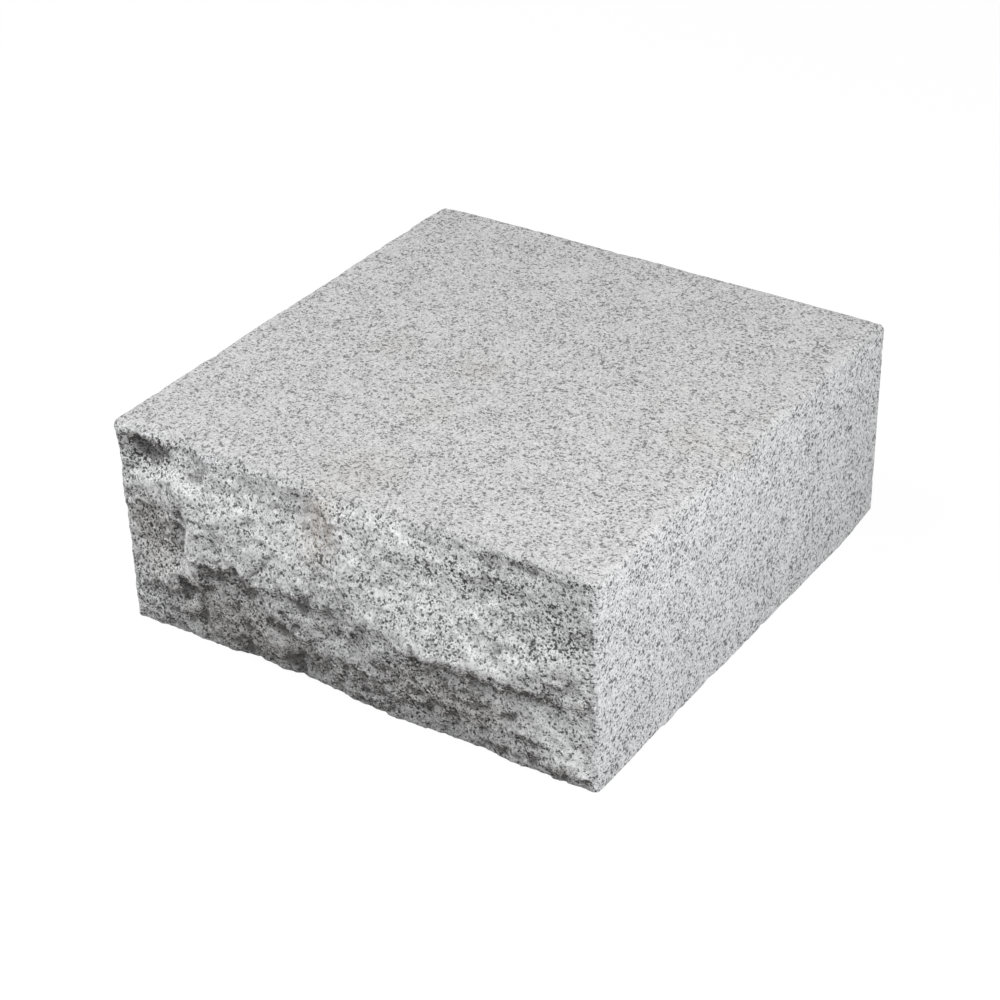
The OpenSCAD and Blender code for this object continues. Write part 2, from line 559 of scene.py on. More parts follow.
    # the sheet that the sides are laid out on
    sheet_width: float = 0.74
    sheet_height: float = 0.685
    sheet_margin: float = 2 * MM
    points: list[np.ndarray] = field(default_factory=list)
    faces: list[tuple[int, ...]] = field(default_factory=list)
    sides: list[Side] = field(default_factory=list)

    @property
    def length(self) -> float:
        """Length of the step along X."""
        return self.high.x - self.low.x

    @property
    def depth(self) -> float:
        """Depth from the line of the front arrises to the back."""
        return self.high.y - self.arris_y

    @property
    def height(self) -> float:
        """Height from the bed to the tread."""
        return self.high.z - self.low.z

    def build(self, name: str) -> bpy.types.Object:
        """Makes the block.

        Args:
            name: Name of the new object.

        Returns:
            The object, with its unwrapped sheet and its surface attributes, and no material.
        """
        along = stations(self.length, self.edge_step, self.face_step)
        up = stations(self.height, self.edge_step, self.face_step)
        front = self.cap(along, up, self.arris_y, Side.FRONT)
        self.sleeve(front, along, up)
        box = np.concatenate(self.points)
        mesh = bpy.data.meshes.new(name)
        rounded = self.rounded(box)
        mesh.from_pydata(rounded.tolist(), [], self.faces)
        mesh.shade_smooth()
        normals = np.zeros(len(box) * 3, np.float32)
        mesh.vertex_normals.foreach_get("vector", normals)
        setback, below, overhang = RockFace(along, up, self.arris_y).relief()
        count = setback.size
        shaped = rounded - normals.reshape(-1, 3) * self.wear(box)[:, None]
        shaped[:count, 1] += setback.ravel()
        shaped[count:, 1] += self.carried(box[count:], along, up, setback)
        shaped[:, 1] += self.front_waves(box)
        shaped[:, 2] = np.maximum(shaped[:, 2], self.knocked(shaped))
        mesh.vertices.foreach_set("co", shaped.astype(np.float32).ravel())
        mesh.update()
        self.unwrap(mesh, box)
        self.attributes(mesh, box, below, overhang)
        return placed(name, mesh)

    def cap(self, along: np.ndarray, up: np.ndarray, y: float, side: Side) -> np.ndarray:
        """Lays a grid across the front or the back.

        Args:
            along: Stations along the length.
            up: Stations up the height.
            y: Where the grid lies.
            side: Which of the two faces it is.

        Returns:
            The numbers of its points, as an array of along by up.
        """
        x, z = np.meshgrid(along + self.low.x, up + self.low.z, indexing="ij")
        flat = np.stack([x.ravel(), np.full(x.size, y), z.ravel()], axis=1)
        numbers = self.add_points(flat).reshape(x.shape)
        a, b = numbers[:-1, :-1].ravel(), numbers[1:, :-1].ravel()
        c, d = numbers[1:, 1:].ravel(), numbers[:-1, 1:].ravel()
        corners = (a, b, c, d) if side is Side.FRONT else (a, d, c, b)
        self.add_faces(zip(*(q.tolist() for q in corners)), side)
        return numbers

    def add_points(self, points: np.ndarray) -> np.ndarray:
        """Adds points.

        Args:
            points: The points, one a row.

        Returns:
            Their numbers.
        """
        first = sum(len(p) for p in self.points)
        self.points.append(points)
        return np.arange(first, first + len(points))

    def add_faces(self, faces: Iterable[tuple[int, ...]], side: Side) -> None:
        """Adds faces.

        Args:
            faces: The point numbers of each, anticlockwise seen from outside.
            side: Side of the block that they lie on.
        """
        added = [tuple(f) for f in faces]
        self.faces.extend(added)
        self.sides.extend([side] * len(added))

    def sleeve(self, front: np.ndarray, along: np.ndarray, up: np.ndarray) -> None:
        """Closes the block behind the rock face, with rings of points from front to back.

        Args:
            front: Numbers of the points of the rock face.
            along: Stations of the rock face along the length.
            up: Its stations up the height.
        """
        places = stations(self.depth, self.edge_step, self.sawn_step)
        coarse_along = stations(self.length, self.edge_step, self.sawn_step)
        coarse_up = stations(self.height, self.edge_step, self.sawn_step)
        edges, grid = self.edges_of(front), (along, up)
        for place in places[1:-1]:
            next_grid = grid if place < self.rim else (coarse_along, coarse_up)
            next_edges = self.ring(*next_grid, self.arris_y + place)
            self.join(edges, grid, next_edges, next_grid)
            edges, grid = next_edges, next_grid
        back = self.cap(coarse_along, coarse_up, self.high.y, Side.BACK)
        self.join(edges, grid, self.edges_of(back), (coarse_along, coarse_up))

    def ring(self, along: np.ndarray, up: np.ndarray, y: float) -> Rows:
        """Adds a ring of points round the block.

        Args:
            along: Stations along the length.
            up: Stations up the height.
            y: Where the ring lies.

        Returns:
            The numbers of the points on each side, corners included, each row from left to
            right or from the bed up.
        """
        x, z = along + self.low.x, up + self.low.z
        inner = z[1:-1]
        rows = ((x, y, z[0]), (x, y, z[-1]), (x[0], y, inner), (x[-1], y, inner))
        bed, tread, left, right = (
            self.add_points(np.stack(np.broadcast_arrays(*row), axis=1)) for row in rows
        )
        return {
            Side.BED: bed,
            Side.TREAD: tread,
            Side.LEFT: np.concatenate([bed[:1], left, tread[:1]]),
            Side.RIGHT: np.concatenate([bed[-1:], right, tread[-1:]]),
        }

    @staticmethod
    def edges_of(grid: np.ndarray) -> Rows:
        """The four edges of a grid of point numbers, as ring() gives them."""
        return {
            Side.BED: grid[:, 0],
            Side.TREAD: grid[:, -1],
            Side.LEFT: grid[0],
            Side.RIGHT: grid[-1],
        }

    def join(self, near: Rows, near_grid: Grid, far: Rows, far_grid: Grid) -> None:
        """Joins two rings with faces.

        Args:
            near: Point numbers of the ring nearer the front, by side.
            near_grid: Its stations along and up.
            far: Point numbers of the ring behind it, by side.
            far_grid: Its stations along and up.
        """
        for side in (Side.BED, Side.TREAD, Side.LEFT, Side.RIGHT):
            axis = 0 if side in (Side.BED, Side.TREAD) else 1
            strip = self.zipped(near[side], near_grid[axis], far[side], far_grid[axis])
            if side in (Side.TREAD, Side.LEFT):
                strip = [f[::-1] for f in strip]
            self.add_faces(strip, side)

    @staticmethod
    def zipped(
        a: np.ndarray, at_a: np.ndarray, b: np.ndarray, at_b: np.ndarray
    ) -> list[tuple[int, ...]]:
        """Fills the strip between two rows of points that begin and end side by side.

        Args:
            a: Point numbers of the first row.
            at_a: Where they lie along it.
            b: Point numbers of the second row.
            at_b: Where they lie along it.

        Returns:
            Faces as tuples of point numbers: quads between equal rows, or else triangles.
        """
        a, b = a.tolist(), b.tolist()
        if len(a) == len(b):
            return [(a[k], b[k], b[k + 1], a[k + 1]) for k in range(len(a) - 1)]
        strip, i, j = [], 0, 0
        while i < len(a) - 1 or j < len(b) - 1:
            if j == len(b) - 1 or (i < len(a) - 1 and at_a[i + 1] <= at_b[j + 1]):
                strip.append((a[i], b[j], a[i + 1]))
                i += 1
            else:
                strip.append((a[i], b[j], b[j + 1]))
                j += 1
        return strip

    def rounded(self, box: np.ndarray) -> np.ndarray:
        """Rounds the block's upright corners and then its arrises, most at the tread's corners.

        Args:
            box: Points on the surface of the sharp block.

        Returns:
            The same points on the rounded block.
        """
        points = box.copy()
        middle_y = (self.high.y + self.arris_y) / 2
        sign = np.where(points[:, :2] > (0, middle_y), 1.0, -1.0)
        radii = np.array([self.front_corners, self.back_corners])
        radius = radii[(points[:, 1] > middle_y).astype(int), (points[:, 0] > 0).astype(int)]
        half = np.array([self.length / 2, self.depth / 2])
        from_middle = np.abs(points[:, :2] - (0, middle_y))
        over = from_middle - (half - radius[:, None])
        in_corner = (over > 0).all(axis=1)
        tiny = 1e-9
        away = np.maximum(np.hypot(*over.T), tiny)
        arc = over * (over.max(axis=1) / away)[:, None]
        moved = np.where(in_corner[:, None], arc, over)
        points[:, :2] += sign * (moved - over)
        outward = np.where(over > over[:, ::-1], 1.0, 0.0)
        outward = np.where(in_corner[:, None], over / away[:, None], outward)
        inside = radius - np.where(in_corner, np.hypot(*moved.T), over.max(axis=1))
        lift = points[:, 2] - (self.high.z + self.low.z) / 2
        nearby = np.exp(-((half - from_middle) ** 2).sum(axis=1) / self.worn_reach**2)
        at_left = (points[:, 0] < 0) & (over[:, 0] > over[:, 1])
        tread_r = np.where(at_left, self.left_arris_r, self.tread_arris_r)
        tread_r = tread_r + self.worn_extra * nearby
        worn = np.where(lift > 0, tread_r, self.bed_arris_r)
        worn = worn + self.arris_waves.at(points)
        at_front = (points[:, 1] < middle_y) & (lift > 0) & (over[:, 1] > over[:, 0])
        front_r = self.front_arris_r * (1 + self.front_arris_waves.at(points))
        worn = np.where(at_front, front_r, worn)
        a = worn - inside
        b = worn - (self.height / 2 - np.abs(lift))
        touched = (a > 0) & (b > 0)
        share = np.where(touched, np.maximum(a, b) / np.maximum(np.hypot(a, b), tiny), 1.0)
        points[:, :2] -= sign * outward * (a * (1 - share))[:, None]
        points[:, 2] -= np.sign(lift) * b * (1 - share)
        return points

    def edge_distance(self, box: np.ndarray) -> np.ndarray:
        """Distance from the edges of the sharp block.

        Args:
            box: Points on the sharp block.

        Returns:
            Distance from each point to the nearest edge between two faces.
        """
        to_low = box - (self.low.x, self.arris_y, self.low.z)
        to_high = np.array(self.high) - box
        return np.sort(np.minimum(to_low, to_high), axis=1)[:, 1]

    def wear(self, box: np.ndarray) -> np.ndarray:
        """How far waves and chipped arrises set each point back, less the swelling.

        Args:
            box: Points on the sharp block.

        Returns:
            One setback for each point, against its normal.
        """
        waves = sum(w.at(box) for w in self.saw_waves)
        chipped = sum(c.at(box) for c in self.chips)
        middle = np.array((self.low.x, self.arris_y, self.high.z - self.swelling_drop))
        gap = ((box - middle) ** 2).sum(axis=1)
        swelling = self.swelling_height * np.exp(-gap / self.swelling_reach**2)
        return waves + chipped * ease(1 - self.edge_distance(box) / self.chip_reach) - swelling

    def carried(
        self, box: np.ndarray, along: np.ndarray, up: np.ndarray, setback: np.ndarray
    ) -> np.ndarray:
        """How far the sides follow the edge of the rock face, fading out behind it.

        Args:
            box: Points of the sides on the sharp block.
            along: Stations of the rock face along the length.
            up: Its stations up the height.
            setback: How far it lies behind the plane of the arrises.

        Returns:
            One shift backwards for each point.
        """
        x, z = box[:, 0] - self.low.x, box[:, 2] - self.low.z
        rows = (
            (z, np.interp(x, along, setback[:, 0])),
            (self.height - z, np.interp(x, along, setback[:, -1])),
            (x, np.interp(z, up, setback[0])),
            (self.length - x, np.interp(z, up, setback[-1])),
        )
        gaps = np.stack([gap for gap, _ in rows])
        nearest = gaps.argmin(axis=0)
        shifts = np.stack([shift for _, shift in rows])
        behind = box[:, 1] - self.arris_y
        return shifts[nearest, np.arange(len(box))] * ease(1 - behind / self.front_fade)

    def front_waves(self, box: np.ndarray) -> np.ndarray:
        """How far the front arrises wander back and forth, fading out behind them.

        Args:
            box: Points on the sharp block.

        Returns:
            One shift backwards for each point.
        """
        share = ease(1 - (box[:, 1] - self.arris_y) / self.front_fade)
        low_down = ease(1 - (box[:, 2] - self.low.z) / (self.height / 2))
        bed_line = sum(w.at(box) for w in self.bed_line)
        tread_line = sum(w.at(box) for w in self.tread_line)
        return share * (low_down * bed_line + (1 - low_down) * tread_line)

    def knocked(self, points: np.ndarray) -> np.ndarray:
        """Height of the surface that the knocked bed corner at the right end of the back left.

        Args:
            points: Points on the block.

        Returns:
            The height below which there is no stone, at each point.
        """
        x = self.high.x - points[:, 0]
        y = self.high.y - points[:, 1]
        plane = self.knock_rise * (1 - x / self.knock_back - y / self.knock_side)
        return np.where(plane > 0, plane + self.knock_waves.at(points), self.low.z)

    def unwrap(self, mesh: bpy.types.Mesh, box: np.ndarray) -> None:
        """Lays the six sides out flat on one sheet.

        Args:
            mesh: The block's mesh.
            box: Its points on the sharp block.
        """
        margin = self.sheet_margin
        corner = np.array((self.low.x, self.arris_y, self.low.z))
        layer = mesh.uv_layers.new(name="OFBake")
        spread = []
        for numbers, side in zip(self.faces, self.sides):
            first, second, left, bottom = side.value
            at = box[list(numbers)] - corner
            u = (at[:, first] + left + margin) / self.sheet_width
            v = (at[:, second] + bottom + margin) / self.sheet_height
            spread.append(np.stack([u, v], axis=1))
        layer.uv.foreach_set("vector", np.concatenate(spread).astype(np.float32).ravel())

    def attributes(
        self, mesh: bpy.types.Mesh, box: np.ndarray, below: np.ndarray, overhang: np.ndarray
    ) -> None:
        """Marks what kind of surface each point is on, and where shade is painted, for the
        granite to read.

        Args:
            mesh: The block's mesh.
            box: Its points on the sharp block.
            below: How far the points of the rock face lie below the stone round them.
            overhang: How much each of them overhangs, from 0 to 1.
        """
        split, hollow, sheltered = (np.zeros(len(box)) for _ in range(3))
        count = below.size
        outside = 1 * MM
        split[:count] = ease((self.edge_distance(box[:count]) + outside) / self.split_edge_fade)
        split[:count] *= ease((self.high.z - box[:count, 2]) / self.split_top_fade)
        from_arris = box - (self.low.x, self.arris_y, self.low.z)
        # the painted shadow patches count as extra hollow depth, which the dirt coat paints dark
        painted_shadow = sum(s.at(from_arris[:count]) for s in self.painted_shadows)
        hollow[:count] = below.ravel() / MM + self.painted_shadow * painted_shadow
        sheltered[:count] = overhang.ravel() * split[:count]
        tread = ease(1 - (self.high.z - box[:, 2]) / self.tread_fade)
        # stains, and brown painted shade over the lower rock face
        stain_and_shade = sum(s.at(from_arris) for s in self.stains_and_shade)
        # painted shade: crowded dark crystals, except where it overhangs
        crowded_shade = sum(s.at(from_arris) for s in self.crowded_shade) * split * (1 - sheltered)
        for name, values in (
            ("split", split), ("hollow", hollow), ("tread", tread),
            ("sheltered", sheltered), ("stain_and_shade", stain_and_shade), ("crowded_shade", crowded_shade),
        ):
            layer = mesh.attributes.new(name, "FLOAT", "POINT")
            layer.data.foreach_set("value", values.astype(np.float32))


# ---------------------------------------------------------------------------------------
# Shader expressions
# ---------------------------------------------------------------------------------------


class Socket:
    """The output of a shader node, which can be used in arithmetic."""

    def __init__(self, graph: "Graph", source: bpy.types.NodeSocket) -> None:
        """Wraps a node's output.

        Args:
            graph: The graph that the node is in.
            source: The output.
        """
        self.graph = graph
        self.source = source

    def math(self, operation: str, first: object, second: object) -> "Socket":
        """Adds a Math node and returns its result."""
        settings = {"operation": operation}
        return self.graph.node("ShaderNodeMath", settings, {0: first, 1: second})

    def __add__(self, other: object) -> "Socket":
        """Adds a value."""
        return self.math("ADD", self, other)

    def __radd__(self, other: object) -> "Socket":
        """Is added to a value."""
        return self.math("ADD", other, self)

    def __sub__(self, other: object) -> "Socket":
        """Takes a value away."""
        return self.math("SUBTRACT", self, other)

    def __rsub__(self, other: object) -> "Socket":
        """Is taken away from a value."""
        return self.math("SUBTRACT", other, self)

    def __mul__(self, other: object) -> "Socket":
        """Multiplies by a value."""
        return self.math("MULTIPLY", self, other)

    def __rmul__(self, other: object) -> "Socket":
        """Multiplies a value."""
        return self.math("MULTIPLY", other, self)

    def at_least(self, floor: float) -> "Socket":
        """The larger of this and a value."""
        return self.math("MAXIMUM", self, floor)


class Graph:
    """The node graph of one material or world."""

    def __init__(self, tree: bpy.types.NodeTree) -> None:
        """Empties a node tree to build in.

        Args:
            tree: The tree.
        """
        self.tree = tree
        tree.nodes.clear()

    @classmethod
    def of(cls, owner: bpy.types.Material | bpy.types.World) -> "Graph":
        """Starts the graph of a material or a world."""
        owner.use_nodes = True
        return cls(owner.node_tree)

    def node(
        self, kind: str, settings: dict, sockets: dict, output: int | str = 0
    ) -> Socket:
        """Adds a node.

        Args:
            kind: The node's type.
            settings: Its properties by name, and a colour ramp's stops under "stops".
            sockets: Values or links of its inputs, by name or number.
            output: Name or number of the output that is wanted.

        Returns:
            That output.
        """
        made = self.tree.nodes.new(kind)
        for name, value in settings.items():
            if name == "stops":
                self.fill_ramp(made.color_ramp, value)
            else:
                setattr(made, name, value)
        for name, value in sockets.items():
            if isinstance(value, Socket):
                self.tree.links.new(value.source, made.inputs[name])
            else:
                made.inputs[name].default_value = value
        return Socket(self, made.outputs[output])

    def show(self, kind: str, surface: Socket) -> None:
        """Ends the graph in an output node of a kind."""
        output = self.tree.nodes.new(kind)
        self.tree.links.new(surface.source, output.inputs["Surface"])

    @staticmethod
    def fill_ramp(ramp: bpy.types.ColorRamp, stops: list[tuple[float, Colour]]) -> None:
        """Gives a colour ramp its stops.

        Args:
            ramp: The ramp.
            stops: Place and colour of each stop.
        """
        while len(ramp.elements) < len(stops):
            ramp.elements.new(1.0)
        for element, (place, colour) in zip(ramp.elements, stops):
            element.position = place
            element.color = (*colour, 1.0)

    def attribute(self, name: str) -> Socket:
        """A surface attribute of the piece."""
        return self.node(
            "ShaderNodeAttribute", {"attribute_name": name}, {}, output="Fac"
        )

    def noise(
        self, where: Socket, size: float, detail: float, roughness: float, output: str
    ) -> Socket:
        """Soft noise in space.

        Args:
            where: The place.
            size: Distance over which the noise changes.
            detail: How many finer levels it has.
            roughness: How strong each finer level is beside the one before it.
            output: "Fac" for a value from 0 to 1, or "Color" for three of them.

        Returns:
            The noise.
        """
        sockets = {"Vector": where, "Scale": 1 / size, "Detail": detail, "Roughness": roughness}
        return self.node("ShaderNodeTexNoise", {"noise_dimensions": "3D"}, sockets, output)

    def ramp(self, value: object, low: float, high: float) -> Socket:
        """Runs smoothly from 0 at low to 1 at high, whichever is the larger."""
        sockets = {"Value": value, "From Min": low, "From Max": high}
        return self.node(
            "ShaderNodeMapRange", {"interpolation_type": "SMOOTHSTEP"}, sockets
        )

    def blend(self, share: object, first: object, second: object) -> Socket:
        """Mixes two colours.

        Args:
            share: How much of the second there is.
            first: First colour, a link or three numbers.
            second: Second colour.

        Returns:
            The mixed colour.
        """
        share_input, first_input, second_input, colour_output = 0, 6, 7, 2
        sockets = {
            place: colour if isinstance(colour, Socket) else (*colour, 1.0)
            for place, colour in ((first_input, first), (second_input, second))
        }
        return self.node(
            "ShaderNodeMix", {"data_type": "RGBA"}, {share_input: share, **sockets}, colour_output
        )

    def tinted(self, colour: Socket, share: object, tint: Colour) -> Socket:
        """Multiplies a colour by a tint where share is 1 and leaves it where share is 0."""
        factor = self.blend(share, (1.0, 1.0, 1.0), tint)
        return self.node(
            "ShaderNodeVectorMath", {"operation": "MULTIPLY"}, {0: colour, 1: factor}
        )


def grey(level: float, warmth: float = 0.0) -> Colour:
    """A linear grey, warmer above 0 and bluer below."""
    return (level * (1 + warmth), level, level * (1 - warmth))


# ---------------------------------------------------------------------------------------
# Finishes
# ---------------------------------------------------------------------------------------


@dataclass(frozen=True)
class Surface:
    """What the granite reads at a point, each as a link.

    Args:
        where: Its place, in millimetres.
        split: 1 where the stone was split.
        hollow: Millimetres that it lies below the stone round it, with the painted shadow patches
            counted in.
        tread: 1 on the tread.
        sheltered: 1 where the face overhangs.
        crowded_shade: 1 where dark crystals crowd, as painted shade.
        stain_and_shade: 1 where it is stained brown, and on the lower rock face where brown shade
            is painted.
    """

    where: Socket
    split: Socket
    hollow: Socket
    tread: Socket
    sheltered: Socket
    crowded_shade: Socket
    stain_and_shade: Socket

    @classmethod
    def read(cls, g: Graph) -> "Surface":
        """Reads the place and the block's attributes.

        Args:
            g: Graph to read them in.

        Returns:
            The surface.
        """
        place = g.node("ShaderNodeTexCoord", {}, {}, output="Object")
        scale = {"operation": "SCALE"}
        where = g.node("ShaderNodeVectorMath", scale, {0: place, "Scale": 1 / MM})
        names = ("split", "hollow", "tread", "sheltered", "crowded_shade", "stain_and_shade")
        return cls(where, *(g.attribute(name) for name in names))

    def mixed(self, side: float, tread: float, split: float) -> Socket:
        """A value that is different on the sides, the tread and the rock face."""
        sawn = side + (tread - side) * self.tread
        return sawn + (split - sawn) * self.split


@dataclass(frozen=True)
class Amounts:
    """How much there is of something on sawn stone, and what other kinds of surface add."""

    sawn: float = 0.0
    split: float = 0.0
    sheltered: float = 0.0
    crowded_shade: float = 0.0

    def at(self, s: Surface) -> Socket:
        """The whole amount."""
        added = self.split * s.split + self.sheltered * s.sheltered + self.crowded_shade * s.crowded_shade
        return self.sawn + added


@dataclass(frozen=True)
class Tone:
    """Lightness of one kind of surface, and the contrast of its crystals."""

    level: float
    contrast: float


@dataclass(frozen=True)
class Mottle:
    """Soft noise in the stone.

    Args:
        size: Distance over which it changes, in millimetres.
        detail: How many finer levels it has.
        weight: Its greatest value.
    """

    size: float
    detail: float
    weight: float = 1.0

    def at(self, g: Graph, s: Surface) -> Socket:
        """Its value, from 0 to weight."""
        return self.weight * g.noise(s.where, self.size, self.detail, 0.55, "Fac")


@dataclass(frozen=True)
class Coat:
    """Something that covers the stone more and more as a value rises.

    Args:
        low: Value at which it begins.
        high: Value from which it covers the most.
        cover: Share of the stone's colour that it then hides.
        colour: Its own colour.
    """

    low: float
    high: float
    cover: float
    colour: Colour

    def over(self, g: Graph, colour: Socket, value: Socket, room: object) -> Socket:
        """Lays it over a colour.

        Args:
            g: The graph.
            colour: The colour.
            value: The value that it rises with.
            room: 1 where it may lie.

        Returns:
            The colour that is seen.
        """
        share = self.cover * (room * g.ramp(value, self.low, self.high))
        return g.blend(share, colour, self.colour)


@dataclass(frozen=True)
class PatinaAndShade:
    """What weather, tools and handling did to the stone, with painted shade in its hollows and
    under its overhangs.
    """

    # dirt and painted shade in the hollows of the rock face, by their depth in millimetres, with
    # the painted shadow patches counted as depth
    specks: tuple[Mottle, ...] = (Mottle(3.0, 3.0, 1.2), Mottle(1.0, 2.0, 2.6))
    dirt_and_shade: Coat = Coat(2.4, 3.8, 0.6, grey(0.06, 0.05))
    # painted shade where the face overhangs, in smears, more of it for each millimetre of hollow
    smears: Mottle = Mottle(4.5, 4.0)
    smears_in_hollows: float = 0.08
    overhang_shade: Coat = Coat(0.46, 0.60, 0.52, grey(0.05, 0.08))
    # stone that the tools bruised white, by the millimetres that it stands proud
    bruise: Coat = Coat(0.3, 1.3, 0.25, grey(0.78))
    # a faint haze in broad clouds
    clouds: Mottle = Mottle(42.0, 2.0)
    haze: Coat = Coat(0.35, 0.68, 0.05, grey(0.30))
    # tints: cool on the sides and less so on the rock face, and a painted warm shade where it
    # overhangs
    cool: Colour = (0.99, 1.0, 1.015)
    less_cool_split: float = 0.6
    warm_shade: Colour = (1.02, 0.99, 0.985)
    # tint of the stains, which over the lower rock face are brown painted shade, and the small
    # patches that they are made of
    brown: Colour = (0.77, 0.72, 0.68)
    patches: Mottle = Mottle(5.0, 4.0)
    patch_range: tuple[float, float] = (0.25, 0.6)

    def over(self, g: Graph, colour: Socket, s: Surface) -> Socket:
        """Ages the stone and paints shade into its hollows and under its overhangs.

        Args:
            g: The graph.
            colour: Colour of the fresh stone.
            s: The surface.

        Returns:
            The colour that is seen.
        """
        # painted shade: hollows, and more so overhangs, take more dark specks
        depth = s.hollow * (1 + s.sheltered) + sum(m.at(g, s) for m in self.specks)
        colour = self.dirt_and_shade.over(g, colour, depth, s.split)
        # painted shade: the overhangs are darkened in smears
        smears = self.smears.at(g, s) + self.smears_in_hollows * s.hollow
        colour = self.overhang_shade.over(g, colour, smears, s.sheltered)
        colour = self.bruise.over(g, colour, 0 - s.hollow, s.split)
        colour = self.haze.over(g, colour, self.clouds.at(g, s), 1.0)
        cool = (1 - s.tread) * (1 - s.sheltered) * (1 - self.less_cool_split * s.split)
        colour = g.tinted(colour, cool, self.cool)
        # painted shade: warmer where the face overhangs
        colour = g.tinted(colour, s.sheltered, self.warm_shade)
        # the stains tint the tread brown and paint brown shade over the lower rock face
        patchy = s.stain_and_shade * g.ramp(self.patches.at(g, s), *self.patch_range)
        return g.tinted(colour, patchy, self.brown)


@dataclass(frozen=True)
class Crystals:
    """One size of crystal in the stone.

    Args:
        size: Distance between neighbouring crystals, in millimetres.
        ragged: How far their outlines wander, in millimetres.
        shift: Shifts the pattern, so that sizes don't line up.
        stops: Lightness of a crystal by its random number: places and linear greys.
        crowding: How much the crowding of dark crystals tells on this size.
    """

    size: float
    ragged: float
    shift: float
    stops: tuple[tuple[float, float], ...]
    crowding: float = 1.0

    def at(self, g: Graph, s: Surface, crowd: Socket) -> Socket:
        """Lightness of the crystals.

        Args:
            g: The graph.
            s: The surface.
            crowd: Makes them darker above 0 and lighter below.

        Returns:
            Lightness from 0 to 1.
        """
        noise = g.noise(s.where, self.size, 2.0, 0.6, "Color")
        moved = g.node(
            "ShaderNodeVectorMath", {"operation": "MULTIPLY_ADD"},
            {0: noise, 1: (2 * self.ragged,) * 3, 2: s.where},
        )
        moved = g.node(
            "ShaderNodeVectorMath", {"operation": "ADD"}, {0: moved, 1: (self.shift,) * 3}
        )
        dice = g.node(
            "ShaderNodeTexVoronoi", {"voronoi_dimensions": "3D"},
            {"Vector": moved, "Scale": 1 / self.size}, output="Color",
        )
        number = g.node("ShaderNodeSeparateColor", {}, {"Color": dice})
        stops = [(at, grey(level)) for at, level in self.stops]
        place = number - self.crowding * crowd
        toned = g.node("ShaderNodeValToRGB", {"stops": stops}, {"Fac": place})
        return g.node("ShaderNodeSeparateColor", {}, {"Color": toned})


@dataclass(frozen=True)
class Granite:
    """Light grey fine-grained granite, fresh where it was split and duller where it was sawn."""

    crystals: tuple[Crystals, ...] = (
        Crystals(
            1.15, 0.9, 0.0,
            ((0.0, 0.03), (0.09, 0.06), (0.15, 0.52), (0.33, 0.74), (0.7, 0.84), (1.0, 0.94)),
        ),
        Crystals(
            0.72, 0.6, 37.0,
            ((0.0, 0.22), (0.10, 0.42), (0.22, 0.78), (0.50, 0.92), (0.80, 0.98), (1.0, 1.0)),
        ),
        Crystals(1.8, 0.8, 71.0, ((0.0, 0.12), (0.03, 0.12), (0.06, 1.0), (1.0, 1.0)), 0.5),
    )
    # where dark crystals come in clumps and where they are more or less common; the extra
    # clumping and crowding where the face overhangs and in the crowded_shade patches is painted
    # shade
    clumps: Mottle = Mottle(5.0, 3.0)
    clumping: Amounts = Amounts(0.30, sheltered=0.40)
    drift: Mottle = Mottle(24.0, 1.0, 0.16)
    crowding: Amounts = Amounts(sheltered=0.15, crowded_shade=0.12)
    side: Tone = Tone(0.43, 0.76)
    tread: Tone = Tone(0.435, 0.61)
    fresh: Tone = Tone(0.63, 1.13)
    # painted shade: the crystals contrast more where the face overhangs and in the crowded_shade
    # patches
    more_contrast: Amounts = Amounts(sheltered=1.1, crowded_shade=0.5)
    darkest: float = 0.015
    patina_and_shade: PatinaAndShade = PatinaAndShade()
    # relief of the crystals, and of grit that isn't theirs
    grit: Mottle = Mottle(1.3, 3.0, 0.7)
    bump: Amounts = Amounts(0.35, split=0.95, sheltered=0.7)
    bump_depth: float = 0.35 * MM
    # roughness of a black crystal, and how much more a white one has
    roughness: float = 0.60
    more_roughness: float = 0.25
    refraction: float = 1.48

    def material(self, name: str) -> bpy.types.Material:
        """Builds the granite.

        Args:
            name: Name of the material.

        Returns:
            The material.
        """
        made = bpy.data.materials.new(name)
        g = Graph.of(made)
        s = Surface.read(g)
        light = self.lightness(g, s)
        colour = self.patina_and_shade.over(g, g.blend(light, grey(0.0), grey(1.0)), s)
        height = (light + self.grit.at(g, s)) * self.bump.at(s)
        sockets = {"Strength": 1.0, "Distance": self.bump_depth, "Height": height}
        bump = g.node("ShaderNodeBump", {}, sockets)
        rough = self.roughness + self.more_roughness * light
        surface = g.node(
            "ShaderNodeBsdfPrincipled", {},
            {"Base Color": colour, "Roughness": rough, "Normal": bump, "IOR": self.refraction},
        )
        g.show("ShaderNodeOutputMaterial", surface)
        return made

    def lightness(self, g: Graph, s: Surface) -> Socket:
        """Lightness of the fresh stone.

        Args:
            g: The graph.
            s: The surface.

        Returns:
            The lightness, as a linear grey.
        """
        clumps = self.clumps.at(g, s) - self.clumps.weight / 2
        drift = self.drift.at(g, s) - self.drift.weight / 2
        # the crowding under the overhangs and in the crowded_shade patches darkens the stone
        # there as painted shade
        crowd = self.clumping.at(s) * clumps + drift + self.crowding.at(s)
        light = 1.0
        for kind in self.crystals:
            light = light * kind.at(g, s, crowd)
        level = s.mixed(self.side.level, self.tread.level, self.fresh.level)
        contrast = s.mixed(self.side.contrast, self.tread.contrast, self.fresh.contrast)
        # painted shade: more contrast under the overhangs and in the crowded_shade patches
        contrast = contrast + self.more_contrast.at(s)
        middle = 0.5
        return (level + (light - middle) * contrast).at_least(self.darkest)


# ---------------------------------------------------------------------------------------
# The studio
# ---------------------------------------------------------------------------------------


